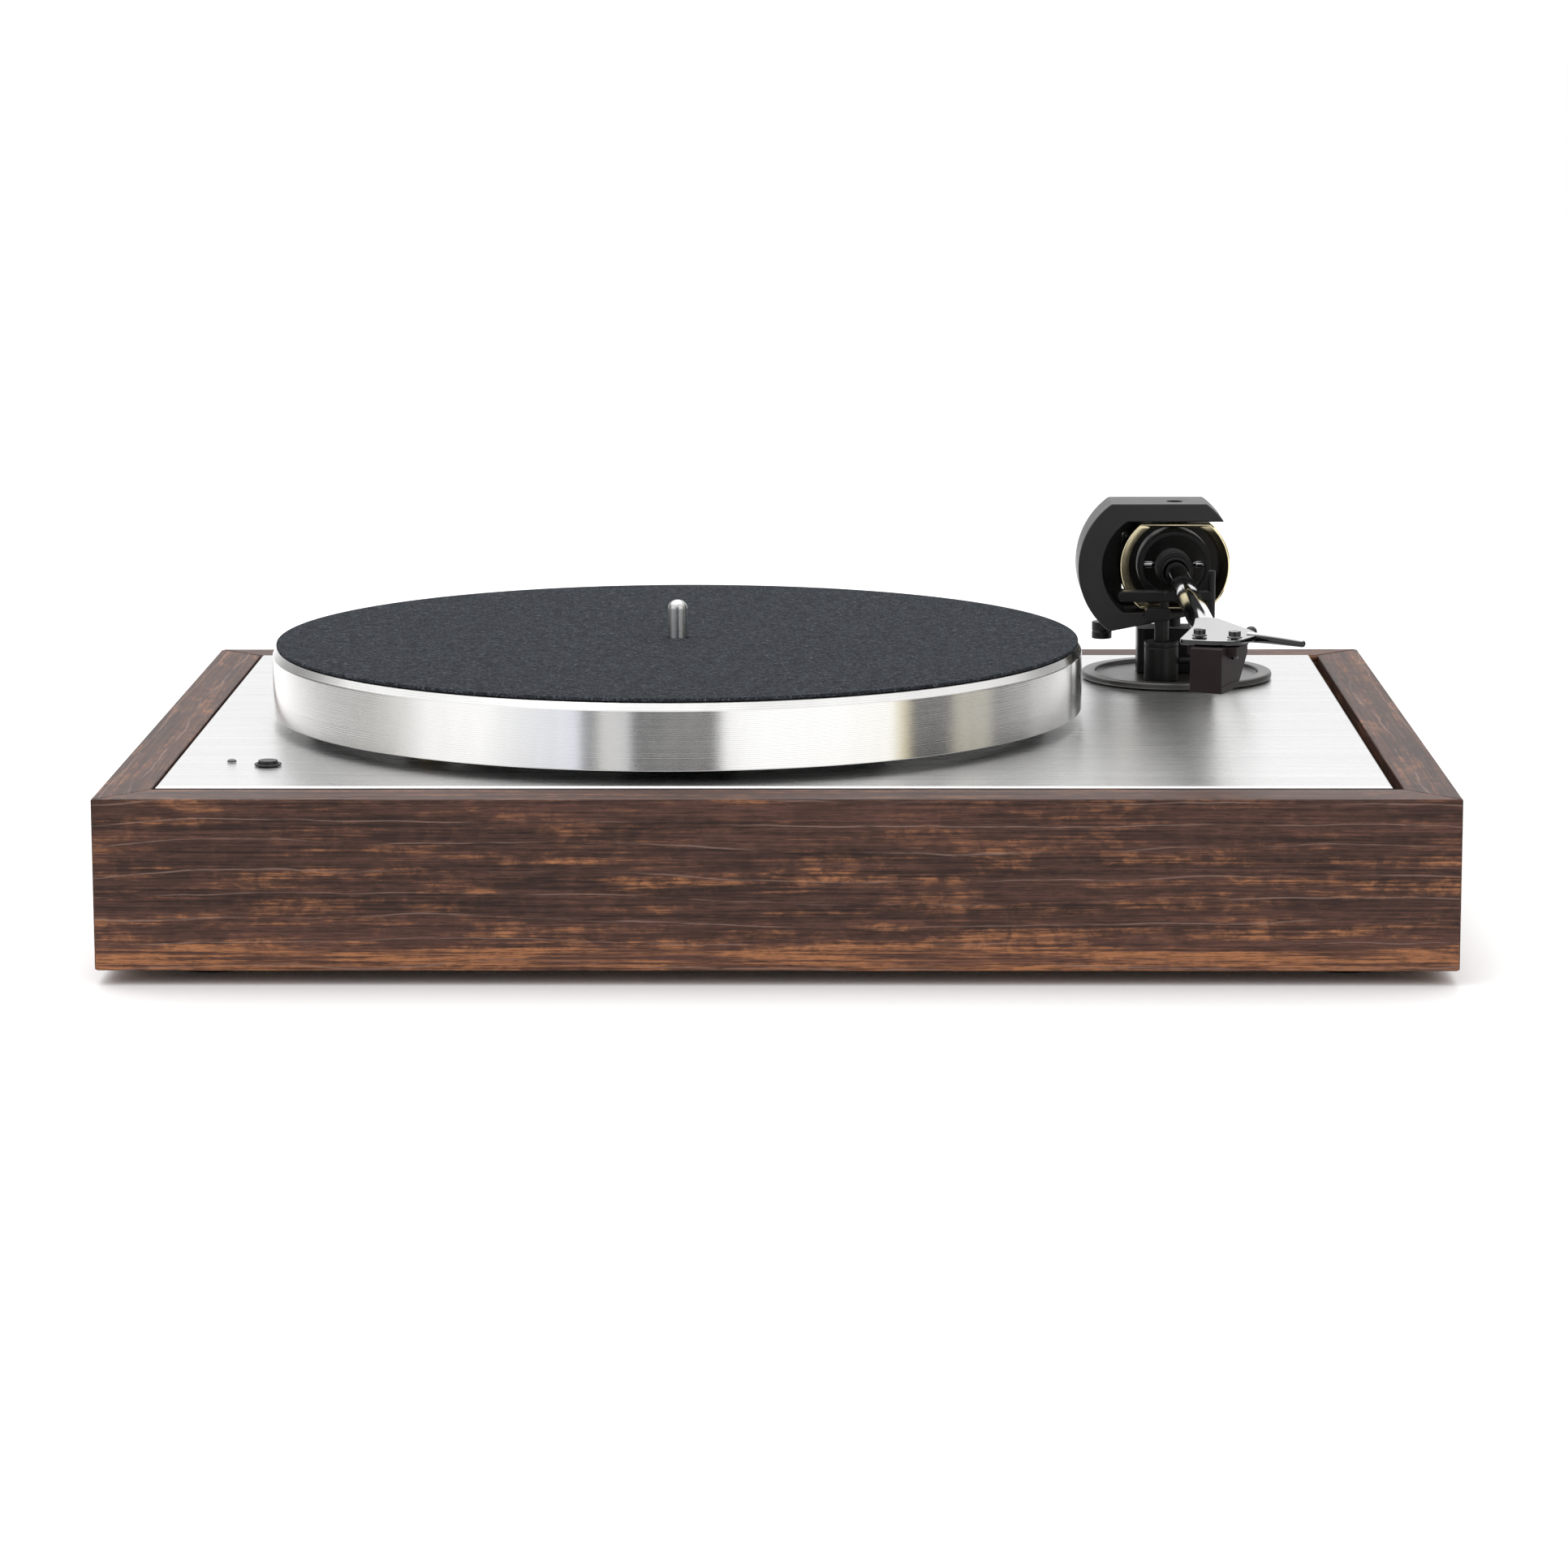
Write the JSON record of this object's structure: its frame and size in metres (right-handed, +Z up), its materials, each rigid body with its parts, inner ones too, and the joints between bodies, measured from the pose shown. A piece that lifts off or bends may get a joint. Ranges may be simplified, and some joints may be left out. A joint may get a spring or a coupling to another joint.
{
  "type": "turntable record player",
  "caption": "Belt-drive record player: low wood-veneered plinth, aluminium deck and platter with felt mat, and a gimbal tonearm in a round yoke.",
  "frame": {"origin": "on the ground, at the centre of the plinth footprint", "axes": "+X along the width towards the tonearm, +Y to the rear, +Z up"},
  "size_m": [0.462, 0.351, 0.1337],
  "materials": {
    "veneer": "satin dark veneer",
    "brushed_aluminium": "brushed along X",
    "polished_aluminium": "turned and polished",
    "golden": "polished pale gold",
    "steel": "ground",
    "brass": "turned",
    "satin_black": "satin",
    "black_alloy": "satin black anodised",
    "black_plastic": "fine grain",
    "cartridge_brown": "matte",
    "felt": "felt",
    "rubber": "matte",
    "board": "raw fibreboard",
    "circuit": "lacquer",
    "red_plastic": "gloss",
    "white_plastic": "gloss",
    "mirror_aluminium": "mirror polished"
  },
  "bodies": {
    "plinth": {"plinth_front": "veneer", "plinth_back": "veneer", "plinth_left": "veneer", "plinth_right": "veneer", "floor_board": "board", "sub_chassis": "board", "foot_1": "rubber", "foot_2": "rubber", "foot_3": "rubber", "foot_4": "rubber", "damper_1": "rubber", "damper_2": "rubber", "damper_3": "rubber", "damper_4": "rubber", "drive_belt": "rubber", "top_plate": "brushed_aluminium", "bearing_housing": "steel", "thrust_ball": "steel", "motor": "steel", "pivot_screw_bottom": "steel", "antiskate_hook": "steel", "control_board": "circuit", "jack_panel": "black_plastic", "power_socket": "black_plastic", "button_bezel": "black_plastic", "status_lamp": "black_plastic", "jack_left": "white_plastic", "jack_right": "red_plastic", "ground_terminal": "brass", "arm_base": "satin_black", "arm_column": "satin_black", "yoke": "satin_black", "pivot_screw_top": "satin_black", "lift_cylinder": "satin_black", "arm_rest": "satin_black"},
    "platter": {"platter_spindle": "steel", "sub_platter": "black_plastic", "platter": "polished_aluminium", "slip_mat": "felt"},
    "pulley": {"motor_pulley": "brass"},
    "button": {"power_button": "black_plastic"},
    "lever": {"cue_lever": "steel", "cue_knob": "black_plastic"},
    "lift": {"lift_stem": "black_alloy", "lift_bar": "black_alloy"},
    "gimbal": {"gimbal_ring": "golden", "gimbal_cradle": "satin_black", "gimbal_pin_left": "steel", "gimbal_pin_right": "steel"},
    "arm": {"arm_hub": "satin_black", "arm_tube": "mirror_aluminium", "arm_stub": "steel", "headshell": "mirror_aluminium", "finger_lift": "mirror_aluminium", "cartridge_body": "cartridge_brown", "stylus": "steel", "head_screw_left": "steel", "head_screw_right": "steel"},
    "balance": {"counterweight": "black_alloy"},
    "skate": {"antiskate_weight": "satin_black"}
  },
  "joints": [
    {"name": "platter_spin", "type": "hinge", "parent": "plinth", "child": "platter", "pos_m": [-0.039, 0.0057, 0.08], "axis": [0, 0, 1], "continuous": true},
    {"name": "pulley_spin", "type": "hinge", "parent": "plinth", "child": "pulley", "pos_m": [-0.127, -0.0563, 0.076], "axis": [0, 0, 1], "continuous": true},
    {"name": "power_press", "type": "slide", "parent": "plinth", "child": "button", "axis": [0, 0, -1], "range_m": [0, 0.0015], "stiffness_N_per_m": 300, "springref_m": -0.0005},
    {"name": "lever_turn", "type": "hinge", "parent": "plinth", "child": "lever", "pos_m": [0.16, 0.0773, 0.074], "axis": [-1, 0, 0], "range_deg": [0, 30]},
    {"name": "lift_rise", "type": "slide", "parent": "plinth", "child": "lift", "axis": [0, 0, 1], "range_m": [0, 0.0019]},
    {"name": "arm_swing", "type": "hinge", "parent": "plinth", "child": "gimbal", "pos_m": [0.1508, 0.094, 0.109], "axis": [0, 0, 1], "range_deg": [-51.5, 2]},
    {"name": "arm_tilt", "type": "hinge", "parent": "gimbal", "child": "arm", "pos_m": [0.1508, 0.094, 0.109], "axis": [-1, 0, 0], "range_deg": [0, 10]},
    {"name": "balance_slide", "type": "slide", "parent": "arm", "child": "balance", "axis": [0, 1, 0], "range_m": [-0.0015, 0.008]},
    {"name": "skate_swing", "type": "hinge", "parent": "plinth", "child": "skate", "pos_m": [0.1243, 0.118, 0.114], "axis": [0, 1, 0], "range_deg": [-8, 8]}
  ],
  "couplings": [
    {"joint": "pulley_spin", "follows": "platter_spin", "ratio": 11.25},
    {"joint": "lift_rise", "follows": "lever_turn", "m_per_rad": 0.0036}
  ]
}
